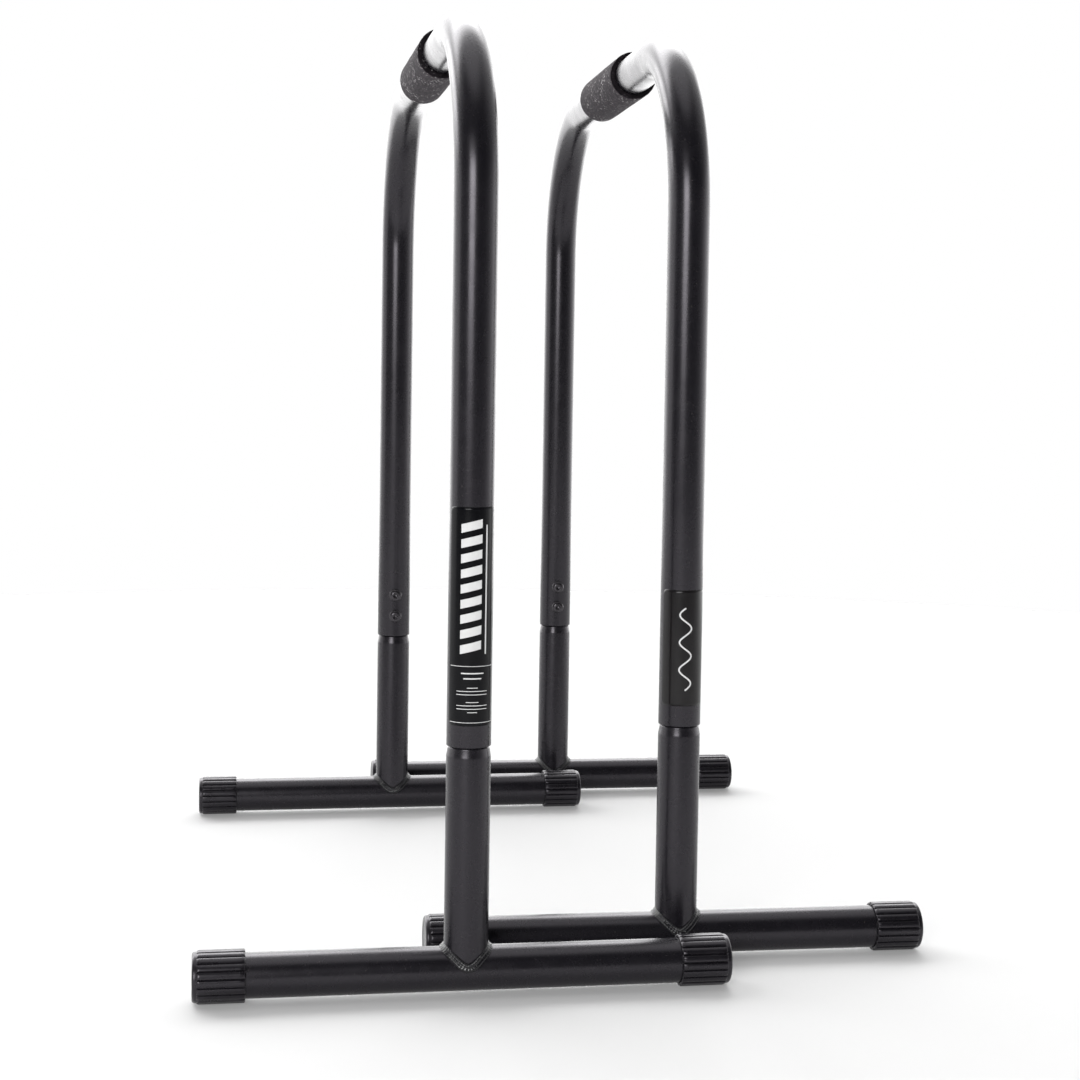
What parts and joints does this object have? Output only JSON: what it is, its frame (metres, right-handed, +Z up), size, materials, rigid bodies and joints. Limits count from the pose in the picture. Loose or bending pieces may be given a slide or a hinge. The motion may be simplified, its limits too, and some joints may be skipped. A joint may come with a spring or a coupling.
{
  "type": "parallel bars",
  "caption": "Pair of low free-standing parallel bars: each an upside-down U of black steel tube with a foam grip, on cross tubes with ribbed rubber end caps.",
  "frame": {"origin": "on the floor, under the middle of the pair's bounding box", "axes": "+X along the foot tubes, from the left bar to the right bar; +Y along the handles, from the near legs to the far legs; +Z up"},
  "size_m": [0.566, 0.7008, 0.7243],
  "materials": {
    "satin_black_steel": "satin black powder coat",
    "grip_foam": "matte charcoal foam rubber with fine light speckles",
    "cap_rubber": "semi-matt black rubber",
    "black_fastener": "black oxide, slightly oiled",
    "label_vinyl": "gloss black adhesive vinyl",
    "label_print": "white print"
  },
  "bodies": {
    "left_bar": {"left_upper_frame": "satin_black_steel", "left_foam_grip": "grip_foam", "left_label": "label_vinyl", "left_near_post": "satin_black_steel", "left_near_foot_tube": "satin_black_steel", "left_near_weld_bead": "satin_black_steel", "left_near_left_cap": "cap_rubber", "left_near_right_cap": "cap_rubber", "left_near_upper_screw": "black_fastener", "left_near_lower_screw": "black_fastener", "left_near_upper_nut": "black_fastener", "left_near_lower_nut": "black_fastener", "left_far_post": "satin_black_steel", "left_far_foot_tube": "satin_black_steel", "left_far_weld_bead": "satin_black_steel", "left_far_left_cap": "cap_rubber", "left_far_right_cap": "cap_rubber", "left_far_upper_screw": "black_fastener", "left_far_lower_screw": "black_fastener", "left_far_upper_nut": "black_fastener", "left_far_lower_nut": "black_fastener"},
    "right_bar": {"right_upper_frame": "satin_black_steel", "right_foam_grip": "grip_foam", "right_label": "label_vinyl", "right_near_post": "satin_black_steel", "right_near_foot_tube": "satin_black_steel", "right_near_weld_bead": "satin_black_steel", "right_near_left_cap": "cap_rubber", "right_near_right_cap": "cap_rubber", "right_near_upper_screw": "black_fastener", "right_near_lower_screw": "black_fastener", "right_near_upper_nut": "black_fastener", "right_near_lower_nut": "black_fastener", "right_far_post": "satin_black_steel", "right_far_foot_tube": "satin_black_steel", "right_far_weld_bead": "satin_black_steel", "right_far_left_cap": "cap_rubber", "right_far_right_cap": "cap_rubber", "right_far_upper_screw": "black_fastener", "right_far_lower_screw": "black_fastener", "right_far_upper_nut": "black_fastener", "right_far_lower_nut": "black_fastener"}
  },
  "joints": [
    {"name": "bar_spacing", "type": "slide", "parent": "left_bar", "child": "right_bar", "axis": [1, 0, 0], "range_m": [-0.12, 0.45]}
  ]
}
